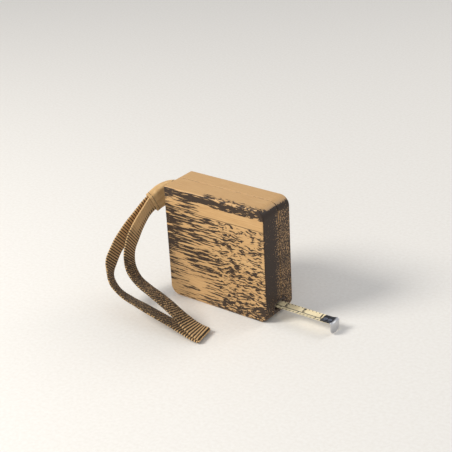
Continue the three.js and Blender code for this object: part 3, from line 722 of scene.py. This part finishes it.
def half_turn(start, end, outwards, steps):
    """Stations half way round from one ply to the other, without the first and the last."""
    middle = (start[0] + end[0]) / 2
    arm = start[0] - middle
    out = outwards.normalized() * arm.length
    stations = []
    for k in range(1, steps):
        angle = math.pi * k / steps
        centre = middle + arm * math.cos(angle) + out * math.sin(angle)
        along = (out * math.cos(angle) - arm * math.sin(angle)).normalized()
        stations.append((centre, along, start[2].copy()))
    return stations


def evened(stations):
    """The stations, each width direction averaged over its neighbours so that the twist is smooth."""
    result = []
    last = len(stations) - 1
    for k, (centre, along, across) in enumerate(stations):
        reach = min(EVENED_OVER, k, last - k)
        mean = sum((stations[j][2] for j in range(k - reach, k + reach + 1)), Vector())
        mean = (mean - along * mean.dot(along)).normalized()
        result.append((centre, along, mean))
    return result


def ply(rows):
    """Evenly spaced stations along a ply, STEPS_PER_RIB to each rib."""
    coarse = [catmull_rom(rows, k / ROUTE_STEPS) for k in range(ROUTE_STEPS + 1)]
    reach = [0.0]
    for a, b in zip(coarse, coarse[1:]):
        reach.append(reach[-1] + (b - a).length)
    count = round(reach[-1] / RIB_PITCH * STEPS_PER_RIB)
    stations = []
    i = 0
    for k in range(count + 1):
        wanted = reach[-1] * k / count
        while i < len(reach) - 2 and reach[i + 1] < wanted:
            i += 1
        t = (i + (wanted - reach[i]) / (reach[i + 1] - reach[i])) / ROUTE_STEPS
        stations.append(station_of(rows, t))
    return evened(stations)


def band_section():
    """A flat band with half-round edges, as shares of its (half width, edge's bulge, thickness)."""
    edge = [math.pi * k / EDGE_STEPS for k in range(1, EDGE_STEPS)]
    half = [(-1 + 2 * k / FLAT_STEPS, 0.0, 1.0) for k in range(FLAT_STEPS + 1)]
    half += [(1.0, math.sin(angle), math.cos(angle)) for angle in edge]
    return half + [(-across, -bulge, -through) for across, bulge, through in half]


def make_strap():
    outer = ply(OUTER_PLY)
    inner = [(centre, -along, across) for centre, along, across in reversed(ply(INNER_PLY))]
    free = outer + half_turn(outer[-1], inner[0], outer[-1][1], FOLD_STEPS) + inner
    upright, inwards = Vector((0, 0, 1)), Vector((1, 0, 0))
    enter = (Vector((ANCHOR_X, -PIN_TURN, STRAP_Z)), inwards, upright)
    leave = (Vector((ANCHOR_X, PIN_TURN, STRAP_Z)), -inwards, upright)
    shares = [k / LEAD_STEPS for k in range(1, LEAD_STEPS)]
    lead_in = [(inner[-1][0].lerp(enter[0], share), inwards, upright) for share in shares]
    lead_out = [(leave[0].lerp(outer[0][0], share), -inwards, upright) for share in shares]
    pin_turn = half_turn(enter, leave, inwards, PIN_STEPS)
    stations = free + lead_in + [enter] + pin_turn + [leave] + lead_out

    section = band_section()
    half_wide = STRAP_WIDTH / 2 - EDGE_BULGE
    rings, along_values, across_values = [], [], []
    reach = 0.0
    for k, (centre, along, across) in enumerate(stations):
        if k:
            reach += (centre - stations[k - 1][0]).length
        through = along.cross(across).normalized()
        rib = 0.5 - 0.5 * math.cos(2 * math.pi * reach / RIB_PITCH)
        half_thick = STRAP_THICKNESS * (VALLEY_SHARE + RIB_SHARE * rib)
        rings.append([centre + across * (a * half_wide + bulge * EDGE_BULGE) + through * (b * half_thick)
                      for a, bulge, b in section])
        along_values += [reach / MM] * len(section)
        across_values += [a for a, bulge, b in section]
    mesh = loft("strap", rings, loop=True)
    give_numbers(mesh, "along", along_values)
    give_numbers(mesh, "across", across_values)
    path = [tuple(station[0]) for station in free[::3]] + [tuple(free[-1][0])]
    MATERIALS["webbing"] = webbing("webbing", reach)
    return link("strap", mesh, "webbing", "case", ["strap_webbing"], sharp=80), path


def make_sleeve():
    """A flat tube of cloth round both plies, its sides rounded over."""
    off_case, near_lip, far_lip = mm(0.35, 0.12, 0.15)
    route_steps, side_steps = 160, 12
    plies = zip(OUTER_PLY[:4], INNER_PLY[:4])
    rows = [[(a + b) / 2 for a, b in zip(outer, inner)] for outer, inner in plies]
    mouth = (Vector((-HALF_WIDTH - off_case, 0, STRAP_Z)), Vector((-1, 0, 0)), Vector((0, 0, 1)))
    kept, reaches = [mouth], [0.0]
    for k in range(route_steps + 1):
        station = station_of(rows, k / route_steps)
        if station[0].x >= mouth[0].x - 1 * MM:
            continue
        reach = reaches[-1] + (station[0] - kept[-1][0]).length
        if reach > SLEEVE_LENGTH:
            break
        kept.append(station)
        reaches.append(reach)
    inner_through = OUTER_PLY[0][1] + STRAP_THICKNESS / 2 + SLEEVE_GAP
    inner_across = STRAP_WIDTH / 2 + SLEEVE_GAP

    def tube(wall):
        corner = inner_through * 0.6 + wall
        points = rounded_rectangle(inner_across + wall, inner_through + wall, corner, 8)
        shape = []
        for (a, b), (c, d) in zip(points, points[1:] + points[:1]):
            pieces = side_steps if abs(a - c) > inner_across else 1
            shape += [(a + (c - a) * k / pieces, b + (d - b) * k / pieces) for k in range(pieces)]
        rings = []
        for centre, along, across in kept:
            through = along.cross(across).normalized()
            rings.append([centre + across * a + through * b for a, b in shape])
        return rings

    outside, inside = tube(SLEEVE_WALL), tube(0.0)
    near, far = [[(o + i) / 2 + step for o, i in zip(outside[end], inside[end])]
                 for end, step in ((0, Vector((near_lip, 0, 0))), (-1, kept[-1][1] * far_lip))]
    mesh = loft("sleeve", outside + [far] + inside[::-1] + [near], loop=True)
    first = outside[0]
    around = [0.0]
    for a, b in zip(first, first[1:]):
        around.append(around[-1] + (b - a).length)
    values = reaches + [reaches[-1]] + reaches[::-1] + [0.0]
    give_numbers(mesh, "along", [value / MM for value in values for _ in first])
    give_numbers(mesh, "around", [value / MM for _ in values for value in around])
    return link("sleeve", mesh, "sleeve_cloth", "case", ["strap_sleeve"], sharp=50)


strap, strap_path = make_strap()
sleeve = make_sleeve()

# ---------------- case


def case_outline(inset):
    """Points (x, z) round the case with its four corner radii, pulled in by inset."""
    side, base, top = HALF_WIDTH - inset, inset, HEIGHT - inset
    places = ((side, base, -90), (side, top, 0), (-side, top, 90), (-side, base, 180))
    steps, least_radius = 10, 0.3 * MM
    points = []
    for (x, z, start), radius in zip(places, CORNERS):
        radius = max(radius - inset, least_radius)
        centre_x = x - math.copysign(radius, x)
        centre_z = z + radius if z == base else z - radius
        for k in range(steps + 1):
            angle = math.radians(start + 90 * k / steps)
            points.append((centre_x + radius * math.cos(angle), centre_z + radius * math.sin(angle)))
    return points


def case_body(name, face_y, seam_y):
    """One half of the case as a solid: round over to its face and slightly broken at the seam."""
    away = math.copysign(1, face_y)
    seam_break = 0.15 * MM
    profile = [(seam_break, seam_y), (0.0, seam_y + away * seam_break)]
    profile += [(EDGE * (1 - c), face_y - away * EDGE * (1 - s)) for c, s in quarter(6)]
    return loft(name, [[(x, y, z) for x, z in case_outline(inset)] for inset, y in profile])


def holes(places, radius, y0, y1, sides=40):
    profile = [(0, y0), (radius, y0), (radius, y1), (0, y1)]
    return [lathe("hole", profile, x, z, sides) for x, z in places]


def opening(x0, side, half_y, z0, z1, radius):
    """A rounded block along X from x0 out through the case's side, a little wider at its face."""
    flare, sign = 0.3 * MM, math.copysign(1, side)
    middle, half_z = (z0 + z1) / 2, (z1 - z0) / 2
    rings = []
    for x, wider in ((x0, 0), (side - sign * flare, 0), (side, flare), (side + sign * PAST, flare + PAST)):
        shape = rounded_rectangle(half_y + wider, half_z + wider, radius + wider)
        rings.append([(x, y, middle + z) for y, z in shape])
    return loft("opening", rings)


def flared_well(radius, floor, flare):
    """Profile points of a round opening in the back that widens by flare at the face."""
    return [(radius, floor), (radius, BACK - flare), (radius + flare, BACK),
            (radius + flare + PAST, BACK + PAST), (0, BACK + PAST)]


def shared_hollows():
    """What is cut from both shells: drum pocket, tunnel, mouth, strap slot and the pin's seat."""
    tunnel_x, tunnel_y, tunnel_low, tunnel_high = mm(27, 3.9, 3.8, 7.6)
    gap, mouth_corner, slot_corner = mm(0.15, 0.8, 1.0)
    pin, below_slot, above_slot = mm(1.1, 2, 1)
    slot_low, slot_high = STRAP_Z - SLOT_HEIGHT / 2, STRAP_Z + SLOT_HEIGHT / 2
    return holes([(0, DRUM_Z)], POCKET_RADIUS, POCKET_FRONT, POCKET_REAR, 96) + [
        box_mesh("tunnel", (-tunnel_x, -tunnel_y, tunnel_low), (tunnel_x, tunnel_y, tunnel_high)),
        opening(guide_low.x - gap, HALF_WIDTH, guide_high.y + gap, guide_low.z - gap,
                guide_high.z + gap, mouth_corner),
        opening(-HALF_WIDTH + SLOT_DEPTH, -HALF_WIDTH, SLOT_HALF, slot_low, slot_high, slot_corner),
        box_mesh("pin_seat", (ANCHOR_X - pin, -pin, slot_low - below_slot),
                 (ANCHOR_X + pin, SEAM_REAR + PAST, slot_high + above_slot)),
    ]


def make_case():
    screw, screw_end, head, head_depth, head_flare = mm(1.15, -7, 2.15, 1.6, 0.2)
    dowel, dowel_front, dowel_rear = mm(1.1, -4.2, 6.2)
    liner_screw, liner_screw_front, liner_screw_rear = mm(0.95, -10, 10.3)
    button, button_flare = mm(7.35, 0.15)
    front_cutters = (
        shared_hollows() + holes(CASE_SCREWS, screw, screw_end, SEAM_FRONT + PAST)
        + holes(DOWELS, dowel, dowel_front, SEAM_FRONT + PAST)
        + holes(LINER_SCREWS, liner_screw, liner_screw_front, POCKET_FRONT + PAST))
    inside, head_floor, floor = SEAM_REAR - PAST, BACK - head_depth, POCKET_REAR - PAST
    sink = [(0, inside), (screw, inside), (screw, head_floor)] + flared_well(head, head_floor, head_flare)
    well = [(0, floor)] + flared_well(button, floor, button_flare)
    rear_cutters = (
        shared_hollows() + [lathe("sink", sink, x, z, 48) for x, z in CASE_SCREWS]
        + holes(DOWELS, dowel, inside, dowel_rear)
        + holes(LINER_SCREWS, liner_screw, floor, liner_screw_rear) + [lathe("well", well, 0, DRUM_Z, 80)])
    for name, face, seam, cutters in (("front_case", front_low.y, SEAM_FRONT, front_cutters),
                                      ("rear_case", BACK, SEAM_REAR, rear_cutters)):
        mesh = carve(case_body(name, face, seam), cutters)
        piece = link(name, mesh, "bamboo", "case", [f"{name}_shell"], sharp=32)
        even = piece.modifiers.new("even_normals", "WEIGHTED_NORMAL")
        even.keep_sharp = True


make_case()

# ---------------- screws, button and guide


def make_case_screws():
    """Domed cross-recessed screws in the back face."""
    head, shank, length, tip, dome = mm(2.0, 1.0, 15, 0.15, 0.6)
    face = BACK - 0.3 * MM
    rim_low, rim_high, rim_break, thread_end = mm(1.1, 1.0, 0.08, 1.8)
    pitch, depth, root_low, root, root_high = mm(0.6, 0.13, 0.22, 0.34, 0.46)
    recess_rings = (mm(0.75, 0.35, 0.16), mm(0, 1.25, 0.3), mm(-0.5, 1.65, 0.37))
    y = face - length + shank
    profile = [(0, face - length), (tip, face - length), (shank, y)]
    while y < face - thread_end:
        profile += [(shank, y + root_low), (shank - depth, y + root), (shank, y + root_high)]
        y += pitch
    profile += [(shank, face - rim_low), (head - rim_break, face - rim_low), (head, face - rim_high)]
    profile += [(head * c, face - dome * (1 - s)) for c, s in quarter(6)]
    for number, (x, z) in enumerate(CASE_SCREWS, 1):
        cutters = []
        for turned in (False, True):
            recess = []
            for sunk, long, thin in recess_rings:
                shape = [(-long, -thin), (long, -thin), (long, thin), (-long, thin)]
                recess.append([(x + b, face - sunk, z + a) if turned else (x + a, face - sunk, z + b)
                               for a, b in shape])
            cutters.append(loft("recess", recess))
        node = f"case_screw_{number}"
        mesh = carve(lathe("screw", profile, x, z, 40), cutters)
        link(f"{node}_look", mesh, "turned_steel", "case", [node], sharp=30)


def make_button():
    """A dished push button with three grip rings, and the collar round it."""
    radius, stem, flange_low, flange_high, edge = mm(5.5, 2, 7.45, 8.35, 0.35)
    rim, rim_break, dish, step, ring_pitch, ring_height, plain = mm(0.75, 0.3, 0.5, 0.08, 1.25, 0.13, 0.9)
    rows, sides = 60, 96
    top, flange = button_high.y, button_high.x
    profile = [(0, button_low.y), (stem, button_low.y), (stem, flange_low), (flange, flange_low),
               (flange, flange_high), (radius, flange_high), (radius, top)]
    body = rounded_profile(profile, edge)[:-1]
    body[-1] = (radius - rim_break, top)
    dish_edge = radius - rim
    for k in range(rows):
        r = dish_edge * (1 - k / rows)
        sunk = dish * (1 - (r / dish_edge) ** 2) + step
        ring = max(0.0, math.cos(2 * math.pi * r / ring_pitch)) if r > plain else 0.0
        body.append((r, top - sunk + ring_height * ring))
    body.append((0, top - dish - step))
    mesh = lathe("button", body, 0, DRUM_Z, sides)
    link("button", mesh, "button_plastic", "button", ["release_button"])

    inner, chamfer, chamfer_depth, edge = mm(5.75, 0.65, 0.55, 0.2)
    outer, low, high = bezel_high.x, bezel_low.y, bezel_high.y
    collar = rounded_profile([(inner, low), (outer, low), (outer, high), (inner + chamfer, high),
                              (inner, high - chamfer_depth)], edge)
    mesh = lathe("collar", collar, 0, DRUM_Z, sides)
    link("button_collar", mesh, "black_plastic", "case", ["button_bezel"])


def make_guide():
    """The lining of the blade's mouth, with a rounded lead-in for the blade."""
    wall, lead, corner, inner_corner, most_growth = mm(1.3, 0.5, 0.8, 0.45, 0.2)
    back, face = guide_low.x, guide_high.x
    middle, half_z = (guide_low.z + guide_high.z) / 2, (guide_high.z - guide_low.z) / 2

    def ring(x, grow, shrink, radius):
        shape = rounded_rectangle(guide_high.y - shrink + grow, half_z - shrink + grow,
                                  radius + min(grow, most_growth))
        return [(x, y, middle + z) for y, z in shape]

    outside = ((back, 0, -0.1), (back, 0.1, 0), (face, -0.2, 0), (face, -0.05, -0.06), (face, 0, -0.2))
    rings = [ring(x + along * MM, grow * MM, 0.0, corner) for x, along, grow in outside]
    rings += [ring(face - lead * s, lead * (1 - s), wall, inner_corner) for c, s in quarter(5)]
    rings.append(ring(back, 0, wall, inner_corner))
    mesh = loft("mouth_lining", rings, loop=True)
    link("mouth_lining", mesh, "guide_plastic", "case", ["mouth_guide"])


make_case_screws()
make_button()
make_guide()

# ---------------- blade, hook and rivets

BLADE_BOTTOM = blade_low.z
BLADE_HALF = blade_high.y
BLADE_CURVE = (BLADE_HALF ** 2 + BLADE_SAGITTA ** 2) / (2 * BLADE_SAGITTA)
RIVET_NODES = ["hook_rivet_1", "hook_rivet_2"]
RIVET_X = [(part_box(node)[0].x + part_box(node)[1].x) / 2 for node in RIVET_NODES]


def blade_rise(y):
    """How much higher the curved blade is at y than along its middle."""
    return BLADE_CURVE - math.sqrt(BLADE_CURVE ** 2 - y ** 2)


def make_blade():
    """The blade's strip, with the free end's corners clipped so that they don't catch."""
    steps_across, steps_along, clipped = 28, 60, 0.6 * MM
    shares = [-1 + 2 * k / steps_across for k in range(steps_across + 1)]
    start, clipped_from = blade_low.x, blade_high.x - clipped
    places = [start + (clipped_from - start) * k / steps_along for k in range(steps_along + 1)]
    rings = []
    for x in places + [blade_high.x]:
        half = BLADE_HALF - max(0.0, x - clipped_from)
        lower = [(x, half * share, BLADE_BOTTOM + blade_rise(half * share)) for share in shares]
        rings.append(lower + [(x, y, z + BLADE_THICKNESS) for x, y, z in reversed(lower)])
    link("blade", loft("blade", rings), "printed_blade", "blade", ["blade_strip"])


def make_numbers():
    """Centimetre numbers in thin raised ink on the blade's far half. They read from the far side,
    with the hook on the reader's left, as a tape's numbers do."""
    size, bolder, half_thick, above_blade, beside_line, foot = mm(3.3, 0.1, 0.006, 0.012, 1.9, 2.72)
    wider, centimetre, merge = 1.15, 10 * MM, 1e-7
    zero = blade_high.x + TO_ZERO
    for number in range(1, 6):
        data = bpy.data.curves.new(f"number_{number}", "FONT")
        data.body = str(number)
        data.size = size
        data.offset = bolder
        data.align_x = "CENTER"
        data.extrude = half_thick
        data.resolution_u = 3
        mesh = evaluated(into_scene("text", data))
        for vertex in mesh.vertices:
            x = zero - number * centimetre + beside_line - vertex.co.x * wider
            y = foot - vertex.co.y
            vertex.co = (x, y, BLADE_BOTTOM + BLADE_THICKNESS + blade_rise(y) + above_blade + vertex.co.z)
        mesh.materials.clear()
        link(f"number_{number}", outward(mesh, merge), "ink", "blade", sharp=None)


def make_hook():
    """One bent plate: a leaf curved like the blade, a bend, and a flat lip with a rounded end."""
    half_thick, over_blade, bend, slope = mm(0.19, 0.04, 0.75, 0.06)
    length, leaf_half, leaf_corner, flare_length = mm(6.4, 2.9, 0.9, 2.2)
    lip_half, lip_round, least_half = mm(3.8, 2.9, 0.4)
    flare_share, bend_share, rim_from, rim_thinner = 0.7, 0.3, 0.86, 0.35
    leaf_steps, bend_steps, lip_steps, steps_across = 14, 8, 24, 20
    leaf_z = BLADE_BOTTOM + BLADE_THICKNESS + over_blade + half_thick
    bend_z = leaf_z + slope - bend
    lip_centre, lip_end = lip_x - half_thick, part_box("end_hook")[0].z
    leaf_start, leaf_end = blade_high.x - length, lip_centre - bend
    path = []
    for k in range(leaf_steps + 1):
        share = k / leaf_steps
        path.append((leaf_start + (leaf_end - leaf_start) * share, leaf_z + slope * share, 0.0))
    for k in range(1, bend_steps + 1):
        angle = math.pi / 2 * k / bend_steps
        path.append((leaf_end + bend * math.sin(angle), bend_z + bend * math.cos(angle), angle))
    for k in range(1, lip_steps + 1):
        share = math.sin(math.pi / 2 * k / lip_steps)
        path.append((lip_centre, bend_z + (lip_end - bend_z) * share, math.pi / 2))

    def half_width(x, z, angle):
        if angle == 0.0:
            short = max(0.0, leaf_corner - (x - leaf_start))
            rounded = leaf_corner - math.sqrt(max(0.0, leaf_corner ** 2 - short ** 2))
            flare = max(0.0, (x - (leaf_end - flare_length)) / flare_length)
            return leaf_half - rounded + (lip_half - leaf_half) * flare_share * flare ** 2
        if z > lip_end + lip_round:
            return lip_half - (lip_half - leaf_half) * bend_share * (1 - angle / (math.pi / 2))
        down = (lip_end + lip_round - z) / lip_round
        return max(least_half, lip_half - lip_round + lip_round * math.sqrt(max(0.0, 1 - down ** 2)))

    rings = []
    for x, z, angle in path:
        width = half_width(x, z, angle)
        # The blade's curve holds on into the bend and is gone where the lip starts.
        curve = min(1.0, 1.3 * (1 - angle / (math.pi / 2)))
        top, bottom = [], []
        for k in range(steps_across + 1):
            share = -1 + 2 * k / steps_across
            lift = blade_rise(min(abs(share * width), BLADE_HALF)) * curve
            rim = half_thick * rim_thinner * max(0.0, abs(share) - rim_from) / (1 - rim_from)
            for row, offset in ((top, lift + (half_thick - rim)), (bottom, lift - (half_thick - rim))):
                row.append((x + math.sin(angle) * offset, share * width, z + math.cos(angle) * offset))
        rings.append(top + bottom[::-1])
    slot, play, slot_low, slot_high = mm(0.7, 0.3, 4, 8)
    shape = rounded_rectangle(slot + play, slot, 0.69 * MM, 6)
    slots = [loft("slot", [[(x - play + a, b, z) for a, b in shape] for z in (slot_low, slot_high)])
             for x in RIVET_X]
    link("hook", carve(loft("hook", rings), slots), "hook_steel", "hook", ["end_hook"])


def make_rivets():
    """Rivets with a domed head over the leaf and a flat one under the blade."""
    shank, head, flat, edge, under_blade = mm(0.6, 1.1, 0.88, 0.12, 0.1)
    rim, dome = mm(0.06, 0.24)
    under = BLADE_BOTTOM - under_blade
    for number, (node, x) in enumerate(zip(RIVET_NODES, RIVET_X), 1):
        low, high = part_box(node)
        over = high.z - dome - rim
        profile = [(0, low.z), (flat, low.z), (head, low.z + edge), (head, under), (shank, under),
                   (shank, over), (head, over)]
        profile += [(head * c, over + rim + dome * s) for c, s in quarter(6)]
        mesh = lathe("rivet", profile, 0, 0, 32)
        mesh.transform(Matrix.Translation((x, 0, 0)) @ Matrix.Rotation(math.pi / 2, 4, "X"))
        link(f"rivet_{number}", mesh, "spring_steel", "blade", [node])


make_blade()
make_numbers()
make_hook()
make_rivets()

# ---------------- finishes of the CAD's own nodes

FINISHED_NODES = {
    "bamboo": ["case_dowel_1", "case_dowel_2"],
    "black_plastic": ["front_liner", "rear_liner", "drum_hub", "drum_cover"],
    "turned_steel": ["spindle_post", "thrust_washer"] + [
        f"{side}_liner_screw_{number}" for side in ("front", "rear") for number in (1, 2, 3)],
    "steel": ["brake_lever", "brake_pivot_pin", "strap_anchor_pin"],
    "spring_steel": ["power_spring", "brake_spring"],
    "rubber": ["brake_pad"],
    "wound_blade": ["blade_coil"],
}
for finish, nodes in FINISHED_NODES.items():
    for node in nodes:
        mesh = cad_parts[node].data
        mesh.materials.clear()
        mesh.materials.append(MATERIALS[finish])

# ---------------- floor and light


def make_floor():
    half, z = 4.0, -0.05 * MM
    mesh = mesh_of("floor", [(-half, -half, z), (half, -half, z), (half, half, z), (-half, half, z)],
                   [(0, 1, 2, 3)])
    g = Graph("floor")
    paper = g.noise(g.place(), scale=0.6, detail=4)
    colour = g.ramp(paper, [(0.3, srgb(226, 222, 215)), (0.7, srgb(232, 229, 223))])
    mesh.materials.append(g.finish(colour, 0.8))
    floor = into_scene("floor", mesh)


# Each lamp's name, place, diameter, watts and colour; all face the middle of the case.
LAMPS = [
    ("key", (-0.42, -0.55, 0.62), 0.35, 7.0, (1.0, 0.97, 0.92)),
    ("fill", (0.45, -0.75, 0.25), 0.6, 1.2, (0.95, 0.97, 1.0)),
    ("rim", (0.3, 0.6, 0.5), 0.4, 1.2, (1.0, 0.98, 0.95)),
]
CASE_MIDDLE = Vector((0.0, 0.0, 0.03))
SKY_COLOUR, SKY_STRENGTH = (0.93, 0.95, 1.0, 1.0), 0.55


def make_light():
    world = bpy.data.worlds.new("studio")
    bpy.context.scene.world = world
    world.use_nodes = True
    background = world.node_tree.nodes["Background"]
    background.inputs["Color"].default_value = SKY_COLOUR
    background.inputs["Strength"].default_value = SKY_STRENGTH
    for name, place, size, watts, colour in LAMPS:
        data = bpy.data.lights.new(name, "AREA")
        data.shape = "DISK"
        data.size = size
        data.energy = watts
        data.color = colour
        light = into_scene(name, data)
        light.location = place
        towards = CASE_MIDDLE - Vector(place)
        light.rotation_euler = towards.to_track_quat("-Z", "Y").to_euler()


make_floor()
make_light()
bpy.context.scene.view_settings.view_transform = "Standard"
